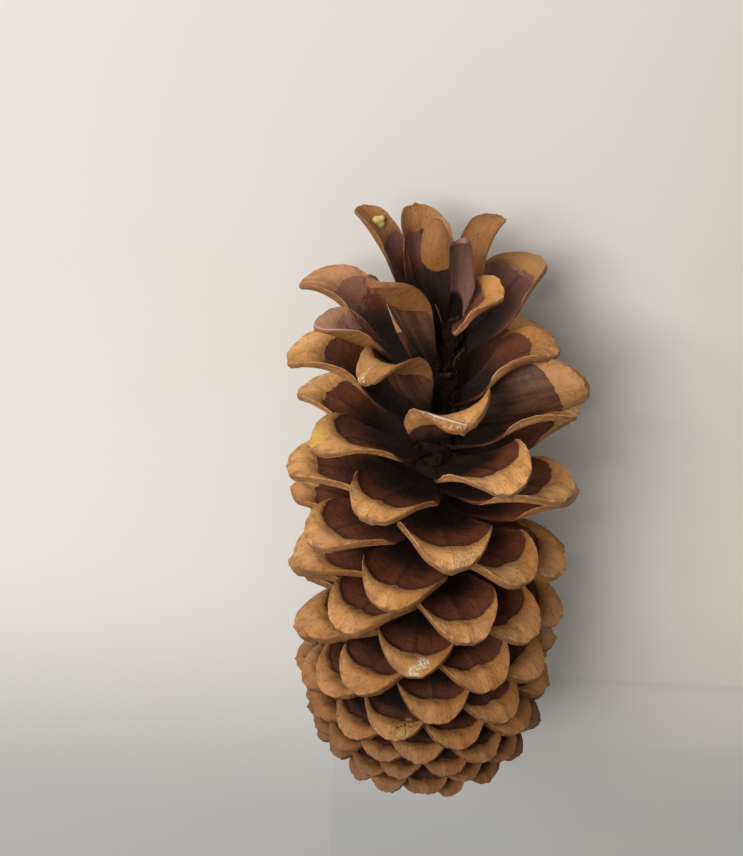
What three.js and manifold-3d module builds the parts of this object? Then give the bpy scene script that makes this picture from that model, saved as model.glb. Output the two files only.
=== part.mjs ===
// A sugar pine cone, dry and open, lying on its side: +Y points to its tip, +Z is up.
// One woody body: a tapered axis that carries its scales in a spiral, and the stub of its stalk.
import * as THREE from 'three';
import { mergeVertices } from 'three/addons/utils/BufferGeometryUtils.js';
import Module from 'manifold-3d';

// Driving dimensions, in millimetres and degrees
const goldenAngle = 137.508;      // turn from one scale to the next
const middleScaleTurn = -13.3;    // turn of scale 0 from straight up, towards +X
const lowerTwist = -7;            // the lower half of the spiral is turned back by this much
const lowerBend = 0.04;           // sideways drift of the lower half for each millimetre of length
const firstScale = -126;          // small scale beside the stalk
const lastScale = 42;             // small scale at the tip
const axisHeight = 55.5;          // cone axis above the surface that the cone lies on
const coneRadius = 60.3;          // axis to the scale tips at mid-length
const middleRoot = -2;            // height of the root of scale 0 along the axis
const rootGap = 2.45;             // step along the axis between roots above mid-length
const baseRootGap = 0.25;         // the same step at the base
const lowerRootSpread = 80.7;     // how much more the roots spread from the base to mid-length
const lowerRootCount = 110;       // scales over which they do so
const middleGap = 2.93;           // step along the axis between tips at mid-length
const gapGrowth = 0.046;          // how much that step grows with each scale
const packedScale = -48.5;        // scales below this one are packed
const baseGap = 0.7;              // step between the tips of packed scales
const endScale = -92;             // scales below this one close the round lower end
const endGap = 0.3;               // step between their tips
const topScale = 36;              // scales above this one stand close around the tip
const topGap = 2;                 // step between their tips
const upperScale = 12;            // scales above this one get shorter and narrower
const scaleWidth = 36.5;          // widest scales
const bladeThickness = 2.4;       // scale at mid-width
const marginThickness = 1.6;      // scale at its edges
const neckLength = 0.12;          // share of the scale that is a slim neck at the axis
const keelThickness = 4.6;        // swollen outer end of the scale, at its keel
const rootSink = 2.5;             // how deep a scale starts in the axis
const groundCut = 1.0;            // how far the lowest tips are pressed flat
const plainScale = -20;           // scales below this one have fewer facets
const centre = [1.0, 8.7];        // middle of the cone in plan, moved to the origin
const rachisPoints = [
  [0, -122], [7, -122], [8, -117], [19, -113], [20, -60], [14, 0], [4, 100], [0, 106],
];

// Scales that stand apart and lean their own way:
// turn off the spiral, tip height, tip radius, share of the usual width, roll, arch
const leaningScales = {
  5: [-6, 15, 61, 1, 0, 0.075],
  11: [0, 40, 61, 1, 0, 0.075],
  16: [0, 57, 60, 1, 12, 0.11],
  18: [3, 57, 58, 1, 0, 0.11],
  19: [0, 66, 55, 1, 0, 0.11],
  21: [13, 80, 49, 1.05, 14, 0.14],
  23: [4, 79, 61, 1, 0, 0.14],
  24: [19, 88, 58, 0.78, -80, 0],
  26: [0, 92, 50, 0.8, 8, 0.2],
  27: [-20, 91, 44, 1.15, 0, 0.14],
  28: [14, 101, 61, 0.95, 0, 0.14],
  31: [-3, 101, 52, 0.9, 0, 0.05],
  33: [0, 132, 36, 1, 0, 0.05],
  34: [-31, 126, 39, 1.1, 10, 0.05],
  35: [4, 115, 44, 1.6, 0, 0.05],
  36: [-12, 136, 41, 0.85, 0, 0.05],
  38: [-32, 133, 30, 0.9, 0, 0.14],
  39: [24, 147, 16, 0.85, 0, -0.1],
  40: [-71, 138, 12, 1.3, 0, 0.1],
  42: [66, 113, 21, 3.4, 15, 0.14],
};

// Scales that broke off at the axis
const lostScales = [29, 30, 32, 37, 41];

const radians = (degrees) => degrees * Math.PI / 180;
const mix = (a, b, t) => a + (b - a) * t;

// A fixed draw between -1 and 1 for one scale and one use of it
function draw(scale, use) {
  const wave = Math.sin(scale * 12.9898 + use * 78.233) * 43758.5453;
  return 2 * (wave - Math.floor(wave)) - 1;
}

// Where a scale leaves the axis: close together at the base, evenly spaced above
function rootHeight(scale) {
  if (scale > 0) return middleRoot + rootGap * scale;
  const rise = Math.max(1 + scale / lowerRootCount, 0);
  return middleRoot + baseRootGap * scale + lowerRootSpread * (rise ** 3 - 1);
}

// Height of a scale's tip along the axis, from the running sum of the gaps
function tipHeight(scale) {
  if (scale < endScale) return tipHeight(endScale) + endGap * (scale - endScale);
  if (scale < packedScale) return tipHeight(packedScale) + baseGap * (scale - packedScale);
  if (scale > topScale) return tipHeight(topScale) + topGap * (scale - topScale);
  return middleGap * scale + gapGrowth / 2 * scale * scale;
}

// Distance of a scale's tip from the axis: the cone is blunt below and opens like a flower above
function tipRadius(scale) {
  const closingUp = 0.031;
  const [upperGrowth, lowerGrowth] = [0.083, 0.09];
  const [endDepth, endStart, endCount, baseInset] = [36, -88, 38, 2.5];
  if (scale > upperScale) return coneRadius + 1 - closingUp * (scale - upperScale) ** 2;
  if (scale > 0) return coneRadius + upperGrowth * scale;
  const intoEnd = Math.max(endStart - scale, 0) / endCount;
  const inset = baseInset * THREE.MathUtils.smoothstep(-scale, 70, 95);
  return coneRadius + lowerGrowth * scale - endDepth * intoEnd ** 2 - inset;
}

// Radius of the woody axis at a height
function rachisRadius(y) {
  const above = rachisPoints.findIndex((point) => point[1] > y);
  const [lowRadius, lowY] = rachisPoints[above - 1];
  const [highRadius, highY] = rachisPoints[above];
  return mix(lowRadius, highRadius, (y - lowY) / (highY - lowY));
}

// Full width of a scale: broad at mid-length, small at both ends
function width(scale) {
  const [upperNarrowing, lowerNarrowing, lowerCount] = [0.03, 0.26, 48];
  const widestAbove = scaleWidth - 0.5;
  if (scale > upperScale) return widestAbove - upperNarrowing * (scale - upperScale) ** 2;
  const below = Math.max(-upperScale - scale, 0) / lowerCount;
  return scaleWidth * (1 - lowerNarrowing * below ** 1.2);
}

// How far a scale arches before its outer end bends back, as a share of its length
function usualArch(scale) {
  if (scale > 30) return 0.05;
  if (scale > 20) return 0.14;
  return scale > 14 ? 0.11 : 0.075;
}

// All that sets one scale: its turn about the axis, its root, its tip, its width and how it is dished
function scaleShape(scale) {
  const lean = leaningScales[scale];
  const twist = lowerTwist * (1 - THREE.MathUtils.smoothstep(scale, -18, upperScale));
  const offSpiral = lean ? lean[0] : 2 * draw(scale, 1);
  const root = [rachisRadius(rootHeight(scale)) - rootSink, rootHeight(scale)];
  const shape = {
    turn: radians(middleScaleTurn + scale * goldenAngle + twist + offSpiral),
    root,
    tip: lean ? [lean[2], lean[1]] : [tipRadius(scale) + 1.2 * draw(scale, 2), tipHeight(scale)],
    width: width(scale) * (lean ? lean[3] : 1 + 0.05 * draw(scale, 3)),
    roll: radians(lean ? lean[4] : 5 * draw(scale, 4)),
    dish: mix(0.22, 0.45, THREE.MathUtils.smoothstep(scale, 12, 26)) * (1 + 0.25 * draw(scale, 5)),
    arch: lean ? lean[5] : usualArch(scale),
  };
  // Scales under the cone are pressed back by its weight
  const down = -Math.cos(shape.turn);
  if (down > 0.5) shape.tip[0] = Math.min(shape.tip[0], (axisHeight + groundCut) / down);
  // The outer edge is a blunt point: its sides start this share of the length short of its tip
  const length = Math.hypot(shape.tip[0] - root[0], shape.tip[1] - root[1]);
  const pointDepth = mix(0.32, 0.44, THREE.MathUtils.smoothstep(scale, -60, 0));
  shape.tipDepth = pointDepth * shape.width / length;
  return shape;
}

// The lower half of the axis leans a little to one side
function sideDrift(y) {
  return lowerBend * Math.max(-y, 0);
}

// Point on a scale: across from -1 to 1, along from 0 at the root to 1 at the outer edge,
// under is false on the face towards the cone's tip and true on the face towards its stalk
function scalePoint(shape, across, along, under) {
  const [rootRadius, rootY] = shape.root;
  const chord = [shape.tip[0] - rootRadius, shape.tip[1] - rootY];
  const length = Math.hypot(...chord);
  const reach = along * (1 - shape.tipDepth * across * across);
  const archTop = 0.1055;
  const rise = shape.arch / archTop * (reach ** 3 - reach ** 4);
  const slope = shape.arch / archTop * (3 * reach ** 2 - 4 * reach ** 3);
  const chordDirection = [chord[0] / length, chord[1] / length];
  const towardsTip = [-chordDirection[1], chordDirection[0]];
  const tangentLength = Math.hypot(1, slope);
  const tangent = [0, 1].map((k) => (chordDirection[k] + towardsTip[k] * slope) / tangentLength);
  const normal = [-tangent[1], tangent[0]];

  // Half width: a slim root, the full width near the outer end, and slightly less at its edge
  const rootWidth = 0.3;
  const spread = THREE.MathUtils.smoothstep(along, -0.1, 0.82);
  const pulledIn = 0.5 * Math.max(along - 0.8, 0);
  const half = shape.width / 2 * mix(rootWidth, 1, spread) * (1 - pulledIn);
  const sideways = across * half;
  const outer = THREE.MathUtils.smoothstep(along, 0.35, 0.85);
  const innerDish = 0.35;
  const dished = shape.dish * half * across * across * mix(innerDish, 1, outer);

  // Thickness: a plate with thinner edges, swollen towards the outer end
  const swellStart = THREE.MathUtils.smoothstep(along, 0.5, 0.8);
  const swellEnd = THREE.MathUtils.smoothstep(along, 0.88, 1.05);
  const swell = swellStart * (1 - swellEnd);
  const size = shape.width / scaleWidth;
  const middle = size * mix(bladeThickness, keelThickness, swell);
  const blade = mix(middle, marginThickness, Math.abs(across) ** 1.6);
  const outerEnd = THREE.MathUtils.smoothstep(along, 0.85, 1);
  const endThinning = 0.75;
  const tapered = blade * mix(1, endThinning, outerEnd);
  const thick = mix(bladeThickness, tapered, THREE.MathUtils.smoothstep(along, 0, 0.35));
  const lift = dished - (under ? thick : 0);
  const tilted = Math.sin(shape.roll) * sideways + Math.cos(shape.roll) * lift;
  const side = Math.cos(shape.roll) * sideways - Math.sin(shape.roll) * lift;

  const radius = rootRadius + chord[0] * reach + towardsTip[0] * rise * length + normal[0] * tilted;
  const y = rootY + chord[1] * reach + towardsTip[1] * rise * length + normal[1] * tilted;
  return [
    Math.sin(shape.turn) * radius + Math.cos(shape.turn) * side + sideDrift(y),
    y,
    Math.cos(shape.turn) * radius - Math.sin(shape.turn) * side,
  ];
}

// Closed blade with the same split into triangles on both faces and a rim between them: a
// three-sided neck that is sunk in the axis, then rows of columns that widen to the outer edge
function scaleMesh(scale) {
  const shape = scaleShape(scale);
  const small = scale < plainScale;
  const rows = small ? [0.6, 1] : [0.42, 0.76, 1];
  const columns = small ? [-1, 0, 1] : [-1, -0.5, 0, 0.5, 1];
  const wide = columns.length;
  const middle = (wide - 1) / 2;
  const points = [];
  for (const along of [0, neckLength]) {
    points.push(...scalePoint(shape, -1, along, false));
    points.push(...scalePoint(shape, 1, along, false));
    points.push(...scalePoint(shape, 0, along, true));
  }
  for (const under of [false, true]) {
    for (const along of rows) {
      for (const across of columns) points.push(...scalePoint(shape, across, along, under));
    }
  }
  const [neckLeft, neckRight, neckUnder, top] = [3, 4, 5, 6];
  const below = rows.length * wide;
  const faces = [0, 1, 2];
  for (const [a, b] of [[0, 1], [1, 2], [2, 0]]) faces.push(a, a + 3, b + 3, a, b + 3, b);
  for (let column = 0; column + 1 < wide; column++) {
    const neck = column < middle ? neckLeft : neckRight;
    faces.push(neck, top + column, top + column + 1);
    faces.push(neckUnder, top + below + column + 1, top + below + column);
  }
  faces.push(neckLeft, top + middle, neckRight);
  const addBoth = (a, b, c) => faces.push(a, b, c, a + below, c + below, b + below);
  for (let row = 0; row + 1 < rows.length; row++) {
    for (let column = 0; column + 1 < wide; column++) {
      const near = top + row * wide + column;
      const far = near + wide;
      if (column < middle) {
        addBoth(near, far, far + 1);
        addBoth(near, far + 1, near + 1);
      } else {
        addBoth(near, far, near + 1);
        addBoth(near + 1, far, far + 1);
      }
    }
  }
  const lastRow = top + (rows.length - 1) * wide;
  const outline = [];
  for (let row = 0; row < rows.length; row++) outline.push(top + row * wide);
  for (let column = 1; column + 1 < wide; column++) outline.push(lastRow + column);
  for (let row = rows.length - 1; row >= 0; row--) outline.push(top + row * wide + wide - 1);
  for (let k = 0; k + 1 < outline.length; k++) {
    const [a, b] = [outline[k], outline[k + 1]];
    faces.push(a, a + below, b + below, a, b + below, b);
  }
  const [left, right] = [top, top + wide - 1];
  faces.push(neckLeft, left + below, left, neckLeft, neckUnder, left + below);
  faces.push(neckRight, right, right + below, neckRight, right + below, neckUnder);
  return { points, faces };
}

const wasm = await Module();
wasm.setup();

function solidFromArrays(points, faces) {
  const vertProperties = new Float32Array(points);
  const triVerts = new Uint32Array(faces);
  return new wasm.Manifold(new wasm.Mesh({ numProp: 3, vertProperties, triVerts }));
}

function solidFromGeometry(geometry) {
  geometry.deleteAttribute('normal');
  geometry.deleteAttribute('uv');
  const merged = mergeVertices(geometry, 1e-4);
  return solidFromArrays(merged.attributes.position.array, merged.index.array);
}

// The woody axis, eight-sided, with the broken stalk as a short stub at its lower end
function makeRachis() {
  const outline = rachisPoints.map(([radius, y]) => new THREE.Vector2(radius, y));
  const geometry = new THREE.LatheGeometry(outline, 8);
  const place = geometry.attributes.position;
  for (let k = 0; k < place.count; k++) place.setX(k, place.getX(k) + sideDrift(place.getY(k)));
  return solidFromGeometry(geometry);
}

// The scales are joined in pairs, then pairs of pairs, until one solid is left
function joinAll(solids) {
  let left = solids;
  while (left.length > 1) {
    const joined = [];
    for (let k = 0; k < left.length; k += 2) {
      joined.push(k + 1 < left.length ? left[k].add(left[k + 1]) : left[k]);
    }
    left = joined;
  }
  return left[0];
}

// The surface that the cone lies on, as a block that presses the lowest tips flat
function makeGround() {
  const depth = 20;
  const block = new THREE.BoxGeometry(400, 600, depth);
  block.translate(0, 0, -axisHeight - depth / 2);
  return solidFromGeometry(block);
}

function makeCone() {
  const solids = [makeRachis()];
  for (let scale = firstScale; scale <= lastScale; scale++) {
    if (lostScales.includes(scale)) continue;
    const { points, faces } = scaleMesh(scale);
    solids.push(solidFromArrays(points, faces));
  }
  const pressed = joinAll(solids).subtract(makeGround());
  // Small sealed gaps among the packed scales are filled, and loose chips dropped
  const bodies = pressed.decompose().sort((a, b) => b.volume() - a.volume());
  const mesh = bodies[0].getMesh();
  const geometry = new THREE.BufferGeometry();
  geometry.setAttribute('position', new THREE.BufferAttribute(mesh.vertProperties, 3));
  geometry.setIndex(new THREE.BufferAttribute(mesh.triVerts, 1));
  geometry.translate(-centre[0], -centre[1], axisHeight);
  geometry.computeVertexNormals();
  const wood = new THREE.MeshStandardMaterial({ color: 0x9a6234, roughness: 0.72, metalness: 0 });
  const cone = new THREE.Mesh(geometry, wood);
  cone.name = 'cone';
  return cone;
}

const sugarPineCone = new THREE.Group();
sugarPineCone.add(makeCone());

export default sugarPineCone;
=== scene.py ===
import math
import random

import bpy
import numpy as np
from mathutils import Matrix, Vector


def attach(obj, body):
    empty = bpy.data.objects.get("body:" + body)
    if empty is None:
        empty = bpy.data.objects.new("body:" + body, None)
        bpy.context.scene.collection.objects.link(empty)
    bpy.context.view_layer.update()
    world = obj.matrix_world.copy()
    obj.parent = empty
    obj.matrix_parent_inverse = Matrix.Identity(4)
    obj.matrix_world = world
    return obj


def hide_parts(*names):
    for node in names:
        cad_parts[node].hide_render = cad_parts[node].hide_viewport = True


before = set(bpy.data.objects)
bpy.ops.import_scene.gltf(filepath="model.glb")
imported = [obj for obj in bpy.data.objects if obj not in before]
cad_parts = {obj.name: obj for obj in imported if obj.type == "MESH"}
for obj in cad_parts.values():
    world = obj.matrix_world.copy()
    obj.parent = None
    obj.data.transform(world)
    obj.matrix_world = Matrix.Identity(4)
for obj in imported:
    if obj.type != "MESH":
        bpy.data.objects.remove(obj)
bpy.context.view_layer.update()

scene = bpy.context.scene
scene.view_settings.view_transform = "Standard"


# Camera: it looks down on the cone from the side of its tip, a little more than half a metre
# off, and is turned over so that the blunt base points to the bottom of the picture.
photo_height_px = 856
focal_length_px = 1200
cone_axis_height = 0.0555
plan_centre = Vector((0.001, 0.0087))
middle_from_camera = Vector((0.0246, -0.0413, -0.5159))
tip_tilt = math.radians(33.4)
tip_swing = math.radians(3.0)

towards_tip = Vector((
    math.sin(tip_swing) * math.cos(tip_tilt),
    math.cos(tip_swing) * math.cos(tip_tilt),
    math.sin(tip_tilt),
))
upwards = Vector((
    -math.sin(tip_swing) * math.sin(tip_tilt),
    -math.cos(tip_swing) * math.sin(tip_tilt),
    math.cos(tip_tilt),
))
sideways = towards_tip.cross(upwards)
camera_axes = Matrix((sideways, towards_tip, upwards))
camera_place = -(camera_axes @ middle_from_camera)
camera_place += Vector((-plan_centre.x, -plan_centre.y, cone_axis_height))

bpy.ops.object.camera_add()
camera = bpy.context.object
camera.name = "view_camera"
camera.matrix_world = Matrix.Translation(camera_place) @ camera_axes.to_4x4()
camera.data.sensor_width = 36
camera.data.lens = focal_length_px / photo_height_px * camera.data.sensor_width
camera.data.clip_start = 0.01
scene.camera = camera


# Cone scales: dry, woody, dished plates that stand on the axis in a spiral and bend back at the
# outer end, each a seed scale of its own. All are copies of a flat blank, bent for their places.
golden_angle = 137.508
middle_scale_turn = -13.3
first_scale = -126
last_scale = 42
cone_radius = 60.3
scale_width = 36.5
axis_height_mm = 1000 * cone_axis_height
millimetre = 0.001

# Scales in the upper half with a place of their own, by their numbers counted from the middle of the
# cone: turn off the spiral in degrees, height and distance from the axis of the outer end in
# millimetres, share of the usual width, roll in degrees, and how far the scale arches for its length
leaning_scales = {
    5: (-6, 15, 61, 1, 0, 0.075),
    11: (0, 40, 61, 1, 0, 0.075),
    16: (0, 57, 60, 1, 12, 0.11),
    18: (3, 57, 58, 1, 0, 0.11),
    19: (0, 66, 55, 1, 0, 0.11),
    21: (13, 80, 49, 1.05, 14, 0.14),
    23: (4, 79, 61, 1, 0, 0.14),
    24: (19, 88, 58, 0.78, -80, 0),
    26: (0, 92, 50, 0.8, 8, 0.2),
    27: (-20, 91, 44, 1.15, 0, 0.14),
    28: (14, 101, 61, 0.95, 0, 0.14),
    29: (0, 80, 8, 0.4, 0, 0.05),
    30: (0, 98, 10, 0.5, 10, 0.05),
    31: (-3, 101, 52, 0.9, 0, 0.05),
    32: (10, 88, 8, 0.4, 0, 0.05),
    33: (0, 132, 36, 1, 0, 0.05),
    34: (-31, 126, 39, 1.1, 10, 0.05),
    35: (4, 115, 44, 1.6, 0, 0.05),
    36: (-12, 136, 41, 0.85, 0, 0.05),
    37: (0, 104, 7, 0.6, 0, 0.05),
    38: (-32, 133, 30, 0.9, 0, 0.14),
    39: (24, 147, 16, 0.85, 0, -0.1),
    40: (-71, 138, 12, 1.3, 0, 0.1),
    41: (0, 118, 10, 1, 0, 0.05),
    42: (66, 113, 21, 3.4, 15, 0.14),
}

# One scale near the tip kept the greyish pink of the shade, and five have broken off to stubs
shaded_scales = (40,)
broken_scales = (29, 30, 32, 37, 41)

# Depth of the pale lip in millimetres where it isn't the usual one
own_lips = {27: 8, 35: 8.5, 36: 17, 38: 34, 42: 7.5}


def mix(a, b, share):
    """The value that lies between a and b at a share of the way."""
    return a + (b - a) * share


def ease(value, low, high):
    """Goes softly from 0 at the low value to 1 at the high one."""
    share = np.clip((value - low) / (high - low), 0, 1)
    return share * share * (3 - 2 * share)


def draw(scale, use):
    """The cone's own fixed draw between -1 and 1 for one scale and one use of it."""
    wave = math.sin(scale * 12.9898 + use * 78.233) * 43758.5453
    return 2 * (wave - math.floor(wave)) - 1


def root_height(scale):
    """Where a scale stands on the axis, in millimetres up from the middle of the cone."""
    if scale > 0:
        return -2 + 2.45 * scale
    rise = max(1 + scale / 110, 0)
    return -2 + 0.25 * scale + 80.7 * (rise ** 3 - 1)


def tip_height(scale):
    """How high a scale's outer end lies along the cone: the rows crowd towards both ends."""
    crowded_below, even_above = -48.5, 36
    if scale < crowded_below:
        last_rows = min(scale + 92, 0)
        return tip_height(crowded_below) + 0.7 * (scale - crowded_below) - 0.4 * last_rows
    if scale > even_above:
        return tip_height(even_above) + 2 * (scale - even_above)
    return 2.93 * scale + 0.023 * scale * scale


def tip_radius(scale):
    """How far a scale's outer end lies from the axis."""
    if scale > 12:
        return cone_radius + 1 - 0.031 * (scale - 12) ** 2
    if scale > 0:
        return cone_radius + 0.083 * scale
    under_end = max(-88 - scale, 0) / 38
    return cone_radius + 0.09 * scale - 36 * under_end ** 2 - 2.5 * float(ease(-scale, 70, 95))


def full_width(scale):
    """The usual width of a scale, widest at the middle of the cone."""
    if scale > 12:
        return scale_width - 0.5 - 0.03 * (scale - 12) ** 2
    return scale_width * (1 - 0.26 * (max(-12 - scale, 0) / 48) ** 1.2)


def usual_arch(scale):
    """How far a scale arches along its middle line, as a share of its length."""
    if scale > 30:
        return 0.05
    if scale > 20:
        return 0.14
    return 0.11 if scale > 14 else 0.075


def side_drift(y):
    """The axis bends a little to one side below the middle of the cone."""
    return 0.04 * np.maximum(-y, 0)


def scale_shape(scale):
    """Turn, root, tip, width and dish of one scale, as on the solid cone."""
    lean = leaning_scales.get(scale)
    twist = -7 * (1 - float(ease(scale, -18, 12)))
    off_spiral = lean[0] if lean else 2 * draw(scale, 1)
    turn = math.radians(middle_scale_turn + scale * golden_angle + twist + off_spiral)
    tip = [tip_radius(scale) + 1.2 * draw(scale, 2), tip_height(scale)]
    if lean:
        tip = [lean[2], lean[1]]
    flatness = 0.3 if scale in shaded_scales else 1

    # A scale that points down ends on the floor, as its flat does on the solid
    down = -math.cos(turn)
    if down > 0.5:
        tip[0] = min(tip[0], (axis_height_mm + 0.3) / down)
    return {
        "turn": turn,
        "root": (mix(6.5, 3, float(ease(scale, 20, 42))), root_height(scale)),
        "tip": tip,
        "width": full_width(scale) * (lean[3] if lean else 1 + 0.05 * draw(scale, 3)),
        "roll": math.radians(lean[4] if lean else 5 * draw(scale, 4)),
        "dish": mix(0.22, 0.45, float(ease(scale, 12, 26))) * (1 + 0.25 * draw(scale, 5)) * flatness,
        "arch": lean[5] if lean else usual_arch(scale),
        "tip_depth": 1.1 if scale in shaded_scales else mix(0.3, 0.41, float(ease(scale, -60, 0))),
        "lip": own_lips.get(scale, mix(6.4, 11.5, float(ease(scale, -75, 0)))),
    }


def make_blank(name, columns, rows):
    """A thin closed slab with a rim between its faces: x from -1 to 1, y from -1 to 1, z from -1 to 1."""
    bpy.ops.object.select_all(action="DESELECT")
    bpy.ops.mesh.primitive_grid_add(
        x_subdivisions=columns, y_subdivisions=rows, size=2, location=(0, 0, 1))
    blank = bpy.context.object
    blank.name = name
    bpy.ops.object.transform_apply(location=True)
    bpy.ops.object.mode_set(mode="EDIT")
    bpy.ops.mesh.select_all(action="SELECT")
    for _ in range(2):
        bpy.ops.mesh.extrude_region_move(TRANSFORM_OT_translate={"value": (0, 0, -1)})
    bpy.ops.mesh.select_all(action="SELECT")
    bpy.ops.mesh.normals_make_consistent(inside=False)
    bpy.ops.object.mode_set(mode="OBJECT")
    return blank


def ripple(across, scale, use, waves):
    """A small uneven wave along a scale's edge, the same each time."""
    total = np.zeros_like(across)
    for k in range(waves):
        pitch = 2.2 + 1.7 * k + 0.6 * draw(scale, use + k)
        total += np.sin(pitch * across * math.pi + 9 * draw(scale, use + 20 + k)) / (1 + 0.6 * k)
    return total / waves


# Points on the upper faces, kept so that small pieces can be laid on them
top_points = {}


def bend_scale(mesh, scale, place):
    """Moves a blank's points to one scale's shape and writes what its wood needs to know."""
    shape = scale_shape(scale)
    count = len(place)
    across, along, layer = place[:, 0], (place[:, 1] + 1) / 2, place[:, 2]
    top = layer > 0.5
    under = layer < -0.5
    rim = ~(top | under)
    at_side = np.abs(across) > 0.999
    at_end = along > 0.999
    width, size = shape["width"], shape["width"] / scale_width

    # The outline: a wedge that widens, then a blunt keeled point, with a slightly torn edge
    chord = np.array([shape["tip"][0] - shape["root"][0], shape["tip"][1] - shape["root"][1]])
    length = float(np.hypot(*chord))
    edge_row = 0.62  # the blank's row that comes to lie on the edge of the bed
    jag = np.sin(across * 517.3 + scale * 12.7) * 43758.5
    jag = 2 * (jag - np.floor(jag)) - 1
    torn = (0.9 + 0.5 * draw(scale, 7)) * ripple(across, scale, 30, 5) + 0.5 * jag
    torn /= length
    point = shape["tip_depth"] * np.abs(across) ** 2.4 + 0.08 * across ** 8
    outer_edge = 1 - point * width / length + 0.6 * torn
    lip_depth = shape["lip"] * (1 + 0.1 * draw(scale, 8)) / length
    lip = lip_depth * (1 - 0.5 * np.abs(across) ** 1.5)
    dip = max(0.2 + draw(scale, 13), 0) * 1.5 / length
    bed_edge = outer_edge - lip + dip * np.exp(-(across * width / 3) ** 2)
    usual_shield = 0.36
    shield_share = 0.21 if scale == 24 else usual_shield
    swollen_edge = outer_edge - shield_share * (1 - 0.35 * across ** 2) + 0.02 * draw(scale, 9)
    inner_edge = np.where(under, swollen_edge, bed_edge)
    inner_edge = np.where(rim, (swollen_edge + bed_edge) / 2, inner_edge)
    reach = np.where(
        along < edge_row,
        inner_edge * along / edge_row,
        mix(inner_edge, outer_edge, (along - edge_row) / (1 - edge_row)),
    )
    end_bevel, side_bevel = 0.35, 0.3  # millimetres that the faces stand back from the rim
    blunt = np.where(rim, 0, 1)
    reach = reach - blunt * at_end * end_bevel / length

    spread = ease(reach / np.maximum(outer_edge, 0.3), -0.1, 0.82)
    half = width / 2 * mix(0.3, 1, spread)
    half *= 1 - 0.08 * ease(reach / outer_edge, 0.8, 1)
    half += 0.35 * ripple(reach * 2, scale, 60, 4) * (0.3 + spread)
    side = across * half - blunt * at_side * np.sign(across) * side_bevel

    # Distance out from the edge of the seed bed, or from where the swollen end starts underneath
    border = (reach - inner_edge) * length
    from_keel = np.abs(side)
    on_lip = ease(border, -0.2, 0.9)

    # The face towards the tip: dished, with a bed sunk under the lip and a low ridge between seeds
    closed = 1 - float(ease(scale, -45, 10))
    outer = ease(reach, 0.3, 0.8)
    dished = shape["dish"] * half * across ** 2 * mix(0.35, 1, outer)
    curl = 0.03 * width * np.abs(across) ** 5 * outer * draw(scale, 10)
    bow = 0.35 * size * ripple(across, scale, 90, 3) * outer
    bed_ridge = 0.5 * np.exp(-(from_keel / 1.6) ** 2) * (1 - on_lip) * ease(reach, 0.15, 0.4)
    roof = mix(1.5, 3.0, closed) * size * (1 - np.abs(across) ** 1.15)
    roof += 0.6 * size * np.exp(-(from_keel / (1.3 * size)) ** 2)
    lip_keel = roof * on_lip * ease(border, 0, 5 * size)
    step = mix(0.6, 1.6, closed) * size * on_lip
    seeds = -0.5 * size * np.exp(-((from_keel - 0.24 * width) / (0.16 * width)) ** 2)
    seeds *= (1 - on_lip) * ease(reach, 0.35, 0.6)
    face = dished + curl + bow + bed_ridge + lip_keel + step + seeds

    # The face towards the stalk: the outer third swells to a keeled shield with a small hard point
    shield = ease(border, -0.3, 1.4)
    past = np.clip(border / (usual_shield * length), 0, 1)
    swell = 2.4 + 2.2 * np.sin(math.pi * np.clip(past * 0.9 + 0.08, 0, 1)) * shield
    thick = size * mix(swell, 1.9, np.abs(across) ** 1.7)
    thick = thick + 0.5 * size * shield * (1 - across ** 2)
    thick += 0.9 * size * np.exp(-(from_keel / (1.6 * size)) ** 2) * shield
    point_size, point_height = 1.8, 1.3
    hard_point = np.exp(-((1 - reach) * length / point_size) ** 2 - (from_keel / point_size) ** 2)
    thick += point_height * size * hard_point
    thick_at_root, thinnest = 2.6, 0.9
    thick = mix(thick_at_root, thick, ease(reach, 0, 0.35))
    thin = mix(1, 0.62, float(ease(scale, 4, 20)))
    thick = np.maximum(thick, thinnest) * mix(1, 0.8, ease(reach / outer_edge, 0.9, 1)) * thin
    lift = dished + curl + bow - thick
    height = np.where(top, face, np.where(under, lift, (face + lift) / 2))

    # Along its middle line the scale arches up and its outer end bends back
    highest_rise = 0.1055  # of reach cubed less its fourth power
    arch = shape["arch"] / highest_rise
    rise = arch * (reach ** 3 - reach ** 4)
    slope = arch * (3 * reach ** 2 - 4 * reach ** 3)
    forward = chord / length
    towards = np.array([-forward[1], forward[0]])
    tangent = (forward[None, :] + towards[None, :] * slope[:, None]) / np.hypot(1, slope)[:, None]
    normal = np.stack([-tangent[:, 1], tangent[:, 0]], axis=1)
    roll = shape["roll"] + math.radians(3) * reach * draw(scale, 11)
    tilted = np.sin(roll) * side + np.cos(roll) * height
    lateral = np.cos(roll) * side - np.sin(roll) * height
    radius = shape["root"][0] + chord[0] * reach + towards[0] * rise * length
    radius += normal[:, 0] * tilted
    y = shape["root"][1] + chord[1] * reach + towards[1] * rise * length
    y += normal[:, 1] * tilted
    turn = shape["turn"]
    x = math.sin(turn) * radius + math.cos(turn) * lateral + side_drift(y)
    z = math.cos(turn) * radius - math.sin(turn) * lateral + axis_height_mm
    above_floor = 0.02
    z = np.maximum(z, above_floor)
    points = np.stack([x, y, z], axis=1)
    points[:, :2] -= 1000 * np.array(plan_centre)
    mesh.vertices.foreach_set("co", (points * millimetre).ravel())
    top_points[scale] = (side[top], border[top], points[top] * millimetre)

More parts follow.
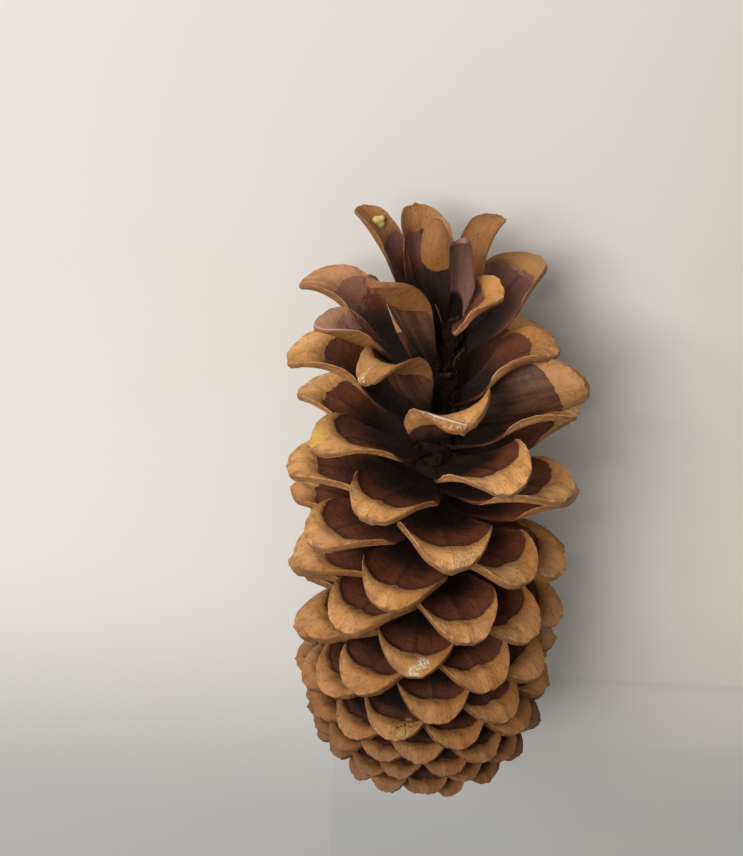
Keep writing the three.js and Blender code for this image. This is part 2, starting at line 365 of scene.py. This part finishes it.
    # What the wood reads: distances in millimetres, shares from 0 to 1, and the scale's own number
    # How tightly the rows are packed: it sets the painted shade on lips, rims and beds, and how soon a bed
    # is painted black towards the axis
    packed_and_shaded = float(ease(-scale, -5, 50))
    shade_black_from = mix(25, 7, float(ease(packed_and_shaded, 0, 1)))
    readings = {
        "border": border,
        "into_shaded_bed": border / shade_black_from,
        "from_edge": np.minimum((outer_edge - reach) * length, half - np.abs(across * half)),
        "from_keel": side,
        "from_middle": from_keel,
        "face": np.where(top, 1.0, np.where(under, -1.0, 0.0)),
        "on_face": np.where(rim, 0.0, 1.0),
        "reach": reach,
        "packed_and_shaded": np.full(count, packed_and_shaded),
        "mauve_width": np.full(count, mix(7, 15, float(ease(scale, 24, 33)))),
        "chance": np.full(count, 0.5 + 0.5 * draw(scale, 12)),
        "shaded": np.full(count, 1.0 if scale in shaded_scales else 0.0),
        "broken": np.full(count, 1.0 if scale in broken_scales else 0.0),
        "order": np.full(count, float(scale)),
    }
    for name, value in readings.items():
        layer_data = mesh.attributes.new(name, "FLOAT", "POINT")
        layer_data.data.foreach_set("value", value.astype(np.float32))

    # The grain runs along each scale, and each has a stretch of it to itself
    apart_from_other_scales = 37.0 * scale
    through = apart_from_other_scales + 1.3 * size * layer
    grain = np.stack([side, reach * length, through], axis=1)
    layer_data = mesh.attributes.new("grain_mm", "FLOAT_VECTOR", "POINT")
    layer_data.data.foreach_set("vector", grain.astype(np.float32).ravel())
    mesh.flip_normals()
    mesh.update()


def linear(hex_colour):
    """An sRGB hex colour as the linear colour that a shader takes."""
    parts = [int(hex_colour[k:k + 2], 16) / 255 for k in (1, 3, 5)]
    return [p / 12.92 if p <= 0.04045 else ((p + 0.055) / 1.055) ** 2.4 for p in parts] + [1]


def add_node(tree, kind, settings, inputs):
    """Adds one node, sets its settings, and sets or links each of its inputs."""
    node = tree.nodes.new(kind)
    for name, value in settings.items():
        setattr(node, name, value)
    for key, value in inputs.items():
        if isinstance(value, bpy.types.NodeSocket):
            tree.links.new(value, node.inputs[key])
        else:
            node.inputs[key].default_value = value
    return node


def stain(tree, below, colour, *masks):
    """Lays a colour over what is below it, as far as all of its masks let it show.

    A mask is a share, or a value with the two readings between which the colour comes in, and
    with the shares at these two where they aren't 0 and 1.
    """
    share = None
    for mask in masks:
        if isinstance(mask, tuple):
            value, low, high, at_low, at_high = (*mask, 0, 1)[:5]
            mask = add_node(
                tree, "ShaderNodeMapRange", {"interpolation_type": "SMOOTHSTEP"},
                {"Value": value, "From Min": low, "From Max": high, "To Min": at_low, "To Max": at_high},
            ).outputs["Result"]
        if share is None:
            share = mask
        else:
            both = add_node(tree, "ShaderNodeMath", {"operation": "MULTIPLY"}, {0: share, 1: mask})
            share = both.outputs[0]
    lower, upper = (linear(c) if isinstance(c, str) else c for c in (below, colour))
    # Inputs 6 and 7 of this node take the two colours, and output 2 gives the one between them
    mixed = add_node(tree, "ShaderNodeMix", {"data_type": "RGBA"}, {0: share, 6: lower, 7: upper})
    return mixed.outputs[2]


# Patches of paler, redder or pinker wood, and of pale and dark crusts, on single scales. Each row
# gives the scale, how far the patch lies from the keel and from the border of the bed, and half its
# width, in millimetres, then how much longer it is along the margin, its colour, and how strongly it
# shows, or the two readings of the specks between which it shows and its strengths there.
settled_patches = [
    (42, 0, 6, 6.5, 2.6, "#d39a58", 0.6),
    (35, 0, 6, 8, 2.5, "#c4935c", 0.35),
    (42, 0, -4, 3.5, 2, "#8a4a2c", 0.5),
    (24, 1, -7, 7, 1.2, "#a35a32", 0.6),
    (31, 0, 6, 16, 1, "#c99a86", 0.5),
    (28, 0, 0, 14, 1, "#b5806c", 0.35),
    (18, -5, 9, 4.5, 1.2, "#cdab48", 0.45),
    (8, 6, 8, 4, 2.4, "#d8c8ac", (0.5, 0.62, 0, 0.5)),
    (-13, 4, 4.5, 2.4, 1, "#cfc6b2", (0.42, 0.56)),
    (-13, 1, 8, 2.2, 1, "#c3b79c", (0.42, 0.56)),
    (-34, 5.5, 3, 4.2, 1, "#a8854a", 0.6),
    (-34, 5.5, 3, 4.2, 1, "#3f3013", (0.47, 0.6, 0, 0.8)),
    (26, -2, 9, 3.5, 1, "#efe6d4", (0.62, 0.66)),
    (21, -1, 10, 3, 1.5, "#dccfb8", (0.54, 0.64, 0, 0.7)),
]

# Sizes in millimetres of the patterns in the wood: across the scale, along it and through it, then
# how much finer detail there is and how far it is warped. Ribs and bands follow the fibres. Real
# fibres are too fine to show, so the ribs are drawn coarser.
wood_patterns = {
    "ribs": (0.7, 14, 1, 4, 0),
    "bands": (3.2, 22, 1, 2, 0),
    "blotches": (8, 8, 8, 3, 0),
    "specks": (0.9, 0.9, 0.9, 3, 0),
    "pits": (2.6, 2.6, 2.6, 4, 0),
    "pink_areas": (14, 14, 14, 2, 0),
    "water_marks": (5, 5, 5, 4, 0.8),
}


# Dried softwood, bare and never coated: matt, with a faint sheen along its fine ribs. The lips
# bleached to ochre and tan in the sun, while the seed beds keep the maroon of the fresh cone. Light and
# shade are painted into parts of the colour as well, as marked below.
def make_scale_wood():
    material = bpy.data.materials.new("dry_scale_wood")
    material.use_nodes = True
    tree = material.node_tree
    shader = tree.nodes["Principled BSDF"]
    reading = {}
    for name in ("border", "into_shaded_bed", "from_edge", "from_keel", "from_middle", "face", "on_face",
                 "reach", "packed_and_shaded", "mauve_width", "chance", "shaded", "broken", "order"):
        found = add_node(tree, "ShaderNodeAttribute", {"attribute_name": name}, {})
        reading[name] = found.outputs["Fac"]
    border, face, order, packed_and_shaded = (reading[name] for name in ("border", "face", "order", "packed_and_shaded"))
    from_keel, from_middle = reading["from_keel"], reading["from_middle"]
    from_edge = reading["from_edge"]

    grain = add_node(tree, "ShaderNodeAttribute", {"attribute_name": "grain_mm"}, {})
    pattern = {}
    for name, (across, along, through, detail, warp) in wood_patterns.items():
        sized = add_node(
            tree, "ShaderNodeMapping", {},
            {"Vector": grain.outputs["Vector"], "Scale": (1 / across, 1 / along, 1 / through)})
        noise = add_node(
            tree, "ShaderNodeTexNoise", {},
            {"Vector": sized.outputs["Vector"], "Scale": 1, "Detail": detail, "Distortion": warp})
        pattern[name] = noise.outputs["Fac"]
    ribs, bands, blotches, specks, pits = (
        pattern[name] for name in ("ribs", "bands", "blotches", "specks", "pits"))

    # The lip and the shield under it: bleached, pinker in places, paler on the rows above the middle and
    # darker towards the tip. Painted light and shade: paler on the lit side of the keel and darker on the
    # other, darker underneath, and darker down the lower half and most at the base, which face away from
    # the light. The packed rows are darker too, partly as wood that never bleached, partly as painted
    # shade.
    lip = stain(tree, "#b0773a", "#d49c5b", (blotches, 0.35, 0.68))
    lip = stain(tree, lip, "#cf9f68", (bands, 0.42, 0.72, 0, 0.35))
    lip = stain(tree, lip, "#7d4b22", (ribs, 0.5, 0.75, 0, 0.16))
    lip = stain(tree, lip, "#c79b76", (pattern["pink_areas"], 0.5, 0.66, 0, 0.5))
    # Painted light and shade: paler on the side of the keel towards the light, darker on the other side
    lip = stain(tree, lip, "#daa673", (from_keel, 5, -7, 0, 0.3))
    lip = stain(tree, lip, "#a86a30", (from_keel, -1, 9, 0, 0.45))
    lip = stain(tree, lip, "#94602f", (reading["chance"], 0.2, 1, 0, 0.28))
    # Darker lips on the packed rows: partly wood that never bleached, partly painted shade
    lip = stain(tree, lip, "#8a5a30", packed_and_shaded, 0.45)
    # Painted shade: the shield underneath is darker, as it faces down away from the light
    lip = stain(tree, lip, "#6e4223", (face, -0.2, -0.8, 0, 0.6))
    lip = stain(tree, lip, "#dfa668", (order, 0, 12), (order, 28, 20, 0, 0.4))
    lip = stain(tree, lip, "#885529", (order, 24, 33, 0, 0.72))
    # Painted shade: darker down the lower half of the cone and most at the base, which face away from the
    # light
    lip = stain(tree, lip, "#7e5029", (order, 5, -45, 0, 0.42))
    lip = stain(tree, lip, "#58361a", (order, -32, -76, 0, 0.62))

    # Its keel is darker, and its rim carries painted shade, deeper on the packed rows. The margin is worn
    # pale in spots, darker in uneven spots near its outer edge, and dirty.
    lip = stain(tree, lip, "#6d4124", (from_middle, 0.5, 0.1, 0, 0.25))
    # Painted shade: the rim darker than the face, most on the packed rows
    rim_brown_and_shade = stain(tree, "#7d4d29", "#4f2e18", packed_and_shaded)
    lip = stain(tree, lip, rim_brown_and_shade, (reading["on_face"], 0.3, 0.95, 1, 0), (pits, 0.4, 0.6, 0.95, 0.5))
    lip = stain(tree, lip, "#d9b68c", (from_edge, 1.6, 0.5), (pits, 0.52, 0.66, 0, 0.2))
    lip = stain(tree, lip, "#6b4223", (from_edge, 3.6, 0.2), (pits, 0.44, 0.58, 0, 0.55))
    lip = stain(tree, lip, "#80502a", (pattern["water_marks"], 0.52, 0.66, 0, 0.3))
    lip = stain(tree, lip, "#4d2f1c", (specks, 0.6, 0.7, 0, 0.6))

    # The seed bed: maroon, mauve next to the lip, dark along its middle. Painted shade makes it darker on
    # the packed rows and black towards the axis, where the scale above covers it.
    bed = stain(tree, "#65361f", "#814629", (blotches, 0.3, 0.7))
    # Painted shade: the beds of the packed rows nearly black
    bed = stain(tree, bed, "#1e0f0a", packed_and_shaded, 0.9)
    uneven_border = add_node(
        tree, "ShaderNodeMath", {"operation": "MULTIPLY_ADD"}, {0: blotches, 1: 5, 2: border})
    in_mauve = add_node(
        tree, "ShaderNodeMath", {"operation": "DIVIDE"},
        {0: uneven_border.outputs[0], 1: reading["mauve_width"]})
    mauve = stain(tree, "#653929", "#48261b", packed_and_shaded)
    mauve = stain(tree, mauve, "#6f4b45", (order, 26, 34))
    bed = stain(tree, bed, mauve, (in_mauve.outputs[0], -0.9, 0.2, 0, 0.85))
    bed = stain(tree, bed, "#3a2018", (from_middle, 1.5, 0.4, 0, 0.6))
    bed = stain(tree, bed, "#4a271a", (ribs, 0.52, 0.7, 0, 0.4))
    # Painted shade: black towards the axis, under the scale above
    bed = stain(tree, bed, "#150b07", (reading["into_shaded_bed"], -0.2, -0.88, 0, 0.94))

    # The inner part of the face underneath, which never dried in the sun, with painted shade: darker
    # towards the root, and nearly black on the last few scales at the tip.
    under = stain(tree, "#4a2c1f", "#67422d", (bands, 0.35, 0.7))
    # Painted shade: darker towards the root and on the scales nearest the tip
    under = stain(tree, under, "#1f120e", (reading["reach"], 0.6, 0.2, 0, 0.8))
    under = stain(tree, under, "#1c100d", (order, 36, 38.5, 0, 0.8))

    # The lip starts along a wavering line. A scale that stayed in the shade is greyish pink, with painted
    # shade nearly black from a little way into its bed, and the stubs of the broken scales are painted
    # nearly black with the shade of the gaps they stand in, over dull brown specks.
    colour = stain(tree, under, bed, (face, -0.1, 0.1))
    wavering = add_node(
        tree, "ShaderNodeMath", {"operation": "MULTIPLY_ADD"}, {0: pits, 1: 1.6, 2: border})
    colour = stain(tree, colour, lip, (wavering.outputs[0], 0.45, 1.05))
    grey_pink = stain(tree, "#7d5650", "#a67a70", ribs)
    # Painted shade: nearly black more than about 8 mm into the bed
    grey_pink = stain(tree, "#140c0a", grey_pink, (border, -10, -7))
    colour = stain(tree, colour, grey_pink, reading["shaded"])
    # Painted shade: the stubs nearly black, over dull brown specks
    stub_brown = stain(tree, "#0f0806", "#3a2118", specks)
    colour = stain(tree, colour, stub_brown, reading["broken"])

    # A patch lies round a point of its scale, with a frayed edge. The third size keeps it off
    # every other scale.
    on_scale = add_node(tree, "ShaderNodeCombineXYZ", {}, {"X": from_keel, "Y": border, "Z": order})
    only_this_scale = 0.3
    fraying, inside, outside = 2.4, 1.8, 2.3
    for scale, from_its_keel, from_its_bed, half_width, stretch, tone, strength in settled_patches:
        if isinstance(strength, tuple):
            strength = (specks, *strength)
        apart = add_node(
            tree, "ShaderNodeMapping", {"vector_type": "TEXTURE"},
            {"Vector": on_scale.outputs["Vector"], "Location": (from_its_keel, from_its_bed, scale),
             "Scale": (half_width * stretch, half_width, only_this_scale)})
        squared = add_node(
            tree, "ShaderNodeVectorMath", {"operation": "DOT_PRODUCT"},
            {0: apart.outputs["Vector"], 1: apart.outputs["Vector"]})
        frayed = add_node(
            tree, "ShaderNodeMath", {"operation": "MULTIPLY_ADD"},
            {0: pits, 1: fraying, 2: squared.outputs["Value"]})
        in_patch = (frayed.outputs[0], outside, inside)
        on_upper_face = (face, 0.1, 0.6)
        colour = stain(tree, colour, tone, in_patch, on_upper_face, strength)

    tree.links.new(colour, shader.inputs["Base Color"])
    roughness = add_node(
        tree, "ShaderNodeMapRange", {"interpolation_type": "SMOOTHSTEP"},
        {"Value": bands, "From Min": 0.2, "From Max": 0.8, "To Min": 0.52, "To Max": 0.72})
    tree.links.new(roughness.outputs["Result"], shader.inputs["Roughness"])
    shader.inputs["Specular IOR Level"].default_value = 0.35
    rib_height = add_node(tree, "ShaderNodeMath", {"operation": "MULTIPLY"}, {0: ribs, 1: 0.35})
    relief = add_node(
        tree, "ShaderNodeMath", {"operation": "MULTIPLY_ADD"}, {0: pits, 1: 0.8, 2: rib_height.outputs[0]})
    bump = add_node(
        tree, "ShaderNodeBump", {},
        {"Height": relief.outputs[0], "Strength": 0.9, "Distance": 0.7 * millimetre})
    tree.links.new(bump.outputs["Normal"], shader.inputs["Normal"])
    return material


scale_wood = make_scale_wood()
fine_blank = make_blank("scale_blank", 20, 26)
plain_blank = make_blank("small_scale_blank", 10, 14)


def make_scales(name, first, last, blank):
    """Copies the blank for each scale of one zone, bends it to shape, and joins the zone."""
    place = np.empty(len(blank.data.vertices) * 3)
    blank.data.vertices.foreach_get("co", place)
    place = place.reshape(-1, 3)
    bpy.ops.object.select_all(action="DESELECT")
    for scale in range(first, last + 1):
        one = blank.copy()
        one.data = blank.data.copy()
        bpy.context.collection.objects.link(one)
        bend_scale(one.data, scale, place)
        one.select_set(True)
        bpy.context.view_layer.objects.active = one
    bpy.ops.object.join()
    zone = bpy.context.object
    zone.name = name
    zone.data.name = name
    bpy.ops.object.shade_smooth_by_angle(angle=math.radians(50))
    zone.data.materials.clear()
    zone.data.materials.append(scale_wood)
    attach(zone, "root")
    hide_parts("cone")
    return zone


make_scales("tip_scales", 30, last_scale, fine_blank)
make_scales("upper_scales", 8, 29, fine_blank)
make_scales("middle_scales", -20, 7, fine_blank)
make_scales("lower_scales", -55, -21, fine_blank)
make_scales("base_scales", -90, -56, fine_blank)
make_scales("stalk_scales", first_scale, -91, plain_blank)
for blank in (fine_blank, plain_blank):
    bpy.data.objects.remove(blank)


# Axis: the woody core that all the scales stand on, tapered to the tip, dark and rough between
# their roots, with the stub of the broken stalk at its lower end.
axis_profile = [  # radius, and place along the cone, in millimetres
    (7, -122), (8, -117), (11, -112), (12, -90), (11, -50), (9.5, 0), (7, 50), (4, 90), (2, 106),
]
ring_spacing = 6
ring_points = 28
unevenness = 0.4 * millimetre
bpy.ops.object.select_all(action="DESELECT")
first_radius, first_y = axis_profile[0]
bpy.ops.mesh.primitive_circle_add(
    vertices=ring_points, radius=first_radius * millimetre, fill_type="NGON",
    rotation=(math.radians(-90), 0, 0), location=(0, first_y * millimetre, 0))
axis = bpy.context.object
axis.name = "axis"
bpy.ops.object.transform_apply(location=True, rotation=True)
bpy.ops.object.mode_set(mode="EDIT")
bpy.ops.mesh.select_all(action="SELECT")
radius_now, y_now = first_radius, first_y
for radius_next, y_next in axis_profile[1:]:
    steps = max(1, round((y_next - y_now) / ring_spacing))
    for step_number in range(1, steps + 1):
        share = step_number / steps
        target = mix(radius_now, radius_next, share)
        before = mix(radius_now, radius_next, (step_number - 1) / steps)
        rise = (y_next - y_now) / steps * millimetre
        bpy.ops.mesh.extrude_region_move(TRANSFORM_OT_translate={"value": (0, rise, 0)})
        bpy.ops.transform.resize(value=(target / before, 1, target / before))
    radius_now, y_now = radius_next, y_next
bpy.ops.mesh.select_all(action="SELECT")
bpy.ops.mesh.normals_make_consistent(inside=False)
bpy.ops.object.mode_set(mode="OBJECT")
rough_draw = random.Random(7)
for vertex in axis.data.vertices:
    vertex.co.x += side_drift(vertex.co.y * 1000) * millimetre - plan_centre.x
    vertex.co.x += rough_draw.uniform(-unevenness, unevenness)
    vertex.co.z += cone_axis_height + rough_draw.uniform(-unevenness, unevenness)
    vertex.co.y -= plan_centre.y
bpy.ops.object.shade_smooth()


# Softwood with broken fibre all over, rough and matt: dark brown, painted nearly black with the
# shade of the scales around it.
def make_axis_wood():
    material = bpy.data.materials.new("dark_axis_wood")
    material.use_nodes = True
    tree = material.node_tree
    shader = tree.nodes["Principled BSDF"]
    place = add_node(tree, "ShaderNodeTexCoord", {}, {}).outputs["Object"]
    lump_size = 4 * millimetre
    lumps = add_node(
        tree, "ShaderNodeTexNoise", {}, {"Vector": place, "Scale": 1 / lump_size, "Detail": 5})
    # Painted shade: nearly black
    colour = stain(tree, "#120a08", "#33201a", lumps.outputs["Fac"])
    tree.links.new(colour, shader.inputs["Base Color"])
    shader.inputs["Roughness"].default_value = 0.9
    shader.inputs["Specular IOR Level"].default_value = 0.15
    bump = add_node(
        tree, "ShaderNodeBump", {},
        {"Height": lumps.outputs["Fac"], "Strength": 0.8, "Distance": 1.5 * millimetre})
    tree.links.new(bump.outputs["Normal"], shader.inputs["Normal"])
    return material


axis.data.materials.append(make_axis_wood())
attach(axis, "root")
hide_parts("cone")


# Bract stubs: the small dry bracts under the scales have crumbled to dark flakes that cling to
# the axis between the roots. Each is a coarse ball, flattened and turned by a seeded draw.
stub_draw = random.Random(3)
stub_count = 150
lowest_stub, highest_stub = 22, 106  # millimetres up from the middle of the cone
axis_radius_low, axis_radius_high = 10.5, 2.5
upper_side = 120  # degrees to each side of straight up
stands_off = 3
stub_half_sizes = ((0.9, 2.6), (0.7, 1.8), (0.4, 0.9))
bpy.ops.object.select_all(action="DESELECT")
bpy.ops.mesh.primitive_ico_sphere_add(subdivisions=1, radius=1)
one_stub = bpy.context.object
stubs = []
for _ in range(stub_count):
    stub = one_stub.copy()
    stub.data = one_stub.data.copy()
    bpy.context.collection.objects.link(stub)
    height = stub_draw.uniform(lowest_stub, highest_stub)
    turn = math.radians(stub_draw.uniform(-upper_side, upper_side))
    radius = mix(axis_radius_low, axis_radius_high, height / highest_stub)
    radius += stub_draw.uniform(0, stands_off)
    stub.location = (
        math.sin(turn) * radius * millimetre - plan_centre.x,
        height * millimetre - plan_centre.y,
        math.cos(turn) * radius * millimetre + cone_axis_height,
    )
    stub.rotation_euler = [stub_draw.uniform(0, math.pi) for _ in range(3)]
    stub.scale = [stub_draw.uniform(least, most) * millimetre for least, most in stub_half_sizes]
    stubs.append(stub)
bpy.data.objects.remove(one_stub)
bpy.ops.object.select_all(action="DESELECT")
for stub in stubs:
    stub.select_set(True)
bpy.context.view_layer.objects.active = stubs[0]
bpy.ops.object.join()
bract_stubs = bpy.context.object
bract_stubs.name = "bract_stubs"
bpy.ops.object.transform_apply(location=True, rotation=True, scale=True)
bract_stubs.data.materials.clear()
# The flakes take the axis wood, with its painted shade
bract_stubs.data.materials.append(axis.data.materials[0])
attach(bract_stubs, "root")
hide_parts("cone")


# Resin lump: pale yellow pitch that oozed from the edge of one scale near the tip and dried there.
# It is four balls that are joined, run together and softened.
def surface_point(scale, from_middle, from_border):
    """The point on a scale's upper face nearest to a distance from its keel and its bed's border."""
    side, border, points = top_points[scale]
    nearest = np.argmin((side - from_middle) ** 2 + (border - from_border) ** 2)
    return Vector(points[nearest].tolist())


resin_place = surface_point(36, -2, 8)
drops = [((0, 0.6, 0.3), 1.9), ((1.5, -0.9, 0), 1.8), ((1.9, 1.4, 0), 1.3), ((0.9, -3, 0), 1.5)]
balls = []
bpy.ops.object.select_all(action="DESELECT")
for offset, radius in drops:
    centre = resin_place + Vector(offset) * millimetre
    bpy.ops.mesh.primitive_uv_sphere_add(
        segments=16, ring_count=10, radius=radius * millimetre, location=centre)
    balls.append(bpy.context.object)
bpy.ops.object.select_all(action="DESELECT")
for ball in balls:
    ball.select_set(True)
bpy.context.view_layer.objects.active = balls[0]
bpy.ops.object.join()
resin = bpy.context.object
resin.name = "resin_lump"
bpy.ops.object.transform_apply(location=True, rotation=True, scale=True)
run_together = resin.modifiers.new("run_together", "REMESH")
run_together.mode = "VOXEL"
run_together.voxel_size = 0.4 * millimetre
softened = resin.modifiers.new("softened", "SMOOTH")
softened.iterations = 5
for modifier_name in ("run_together", "softened"):
    bpy.ops.object.modifier_apply(modifier=modifier_name)
bpy.ops.object.shade_smooth()

# Dried conifer resin is hard and glossy, with the index of amber, and light goes a little way in
resin_material = bpy.data.materials.new("dried_resin")
resin_material.use_nodes = True
resin_shader = resin_material.node_tree.nodes["Principled BSDF"]
resin_shader.inputs["Base Color"].default_value = linear("#cdbb74")
resin_shader.inputs["Roughness"].default_value = 0.3
resin_shader.inputs["IOR"].default_value = 1.53
resin_shader.inputs["Subsurface Weight"].default_value = 0.5
resin_shader.inputs["Subsurface Radius"].default_value = [k * millimetre for k in (2, 1.5, 0.6)]
resin_shader.inputs["Subsurface Scale"].default_value = 1.0
resin.data.materials.append(resin_material)
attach(resin, "root")
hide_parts("cone")


# Splinter: a pale torn fibre of wood that lies over the lip of a scale, a thin tapered stick.
splinter_end = surface_point(21, 1, 11) + Vector((0, 1.2, 1.4)) * millimetre
splinter_start = surface_point(21, -12, 2) + Vector((0, 1.2, 2.2)) * millimetre
splinter_line = splinter_end - splinter_start
thick_end, thin_end = 0.7 * millimetre, 0.3 * millimetre
off_the_wood = Vector((0, 0, 0.6)) * millimetre
bpy.ops.object.select_all(action="DESELECT")
bpy.ops.mesh.primitive_cone_add(
    vertices=5, radius1=thick_end, radius2=thin_end, depth=splinter_line.length)
splinter = bpy.context.object
splinter.name = "splinter"
splinter.rotation_mode = "QUATERNION"
splinter.rotation_quaternion = splinter_line.to_track_quat("Z", "Y")
splinter.location = (splinter_start + splinter_end) / 2 + off_the_wood
bpy.ops.object.transform_apply(location=True, rotation=True, scale=True)

# Bare torn softwood fibre, bleached grey by weather: matt and paler than any scale
splinter_material = bpy.data.materials.new("torn_pale_fibre")
splinter_material.use_nodes = True
splinter_shader = splinter_material.node_tree.nodes["Principled BSDF"]
splinter_shader.inputs["Base Color"].default_value = linear("#b5a896")
splinter_shader.inputs["Roughness"].default_value = 0.75
splinter.data.materials.append(splinter_material)
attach(splinter, "root")
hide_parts("cone")


# Floor: pale sheets of smooth paper under the cone, with a fold and the edge of a second sheet.
# It isn't part of the object. Painted shade greys the paper towards the tip side, to one side and towards
# the cone's base.
floor_size = 6
bpy.ops.object.select_all(action="DESELECT")
bpy.ops.mesh.primitive_plane_add(size=floor_size, location=(0, 0, 0))
floor = bpy.context.object
floor.name = "floor"


# Uncoated smooth paper, pressed from bleached pulp: matt and nearly white, with faint yellowish
# mottles. Painted shade makes it greyer towards the tip side, to one side with a yellow cast, and
# towards the cone's base.
def make_paper():
    material = bpy.data.materials.new("pale_paper")
    material.use_nodes = True
    tree = material.node_tree
    shader = tree.nodes["Principled BSDF"]
    place = add_node(tree, "ShaderNodeTexCoord", {}, {}).outputs["Object"]
    split = add_node(tree, "ShaderNodeSeparateXYZ", {}, {"Vector": place})
    x, y = split.outputs["X"], split.outputs["Y"]
    wander = add_node(tree, "ShaderNodeTexNoise", {}, {"Vector": place, "Scale": 9, "Detail": 3})
    # Painted shade: greyer towards the tip side, to one side, and towards the base
    colour = stain(tree, "#e6e3de", "#c9c6c2", (y, -0.1, 0.2, 0, 0.5))
    colour = stain(tree, colour, "#bcb29c", (x, 0.03, 0.22, 0, 0.5))
    colour = stain(tree, colour, "#b0b1b2", (y, -0.08, -0.28, 0, 0.85))
    colour = stain(tree, colour, "#cfc8b4", (wander.outputs["Fac"], 0.5, 0.7, 0, 0.1))

    # Painted shadow: a thin line along the edge of the second sheet, then painted shade in the two
    # creases of the fold
    colour = stain(tree, colour, "#8e959c", (x, -0.0396, -0.0392), (y, -0.19, -0.21, 0, 0.12))
    across_fold = ((y, -0.1485, -0.1515), (y, -0.1575, -0.152))
    colour = stain(tree, colour, "#8d8a80", *across_fold, (x, 0.06, 0.09, 0, 0.12))
    tree.links.new(colour, shader.inputs["Base Color"])
    shader.inputs["Roughness"].default_value = 0.8
    return material


floor.data.materials.append(make_paper())


# Light: one large soft source high on the side of the tip and the left of the picture, and a
# faint even light from all round.
lamp_place = (-0.86, 0.84, 1.3)
bpy.ops.object.light_add(type="AREA", location=lamp_place)
lamp = bpy.context.object
lamp.name = "window_light"
lamp.data.shape = "DISK"
lamp.data.size = 1.2
lamp.data.energy = 34
lamp.data.color = linear("#fefcf8")[:3]
lamp.rotation_mode = "QUATERNION"
lamp.rotation_quaternion = Vector(lamp_place).to_track_quat("Z", "Y")
world = bpy.data.worlds.new("soft_room")
world.use_nodes = True
background = world.node_tree.nodes["Background"]
background.inputs["Color"].default_value = linear("#ece9e2")
background.inputs["Strength"].default_value = 0.34
scene.world = world
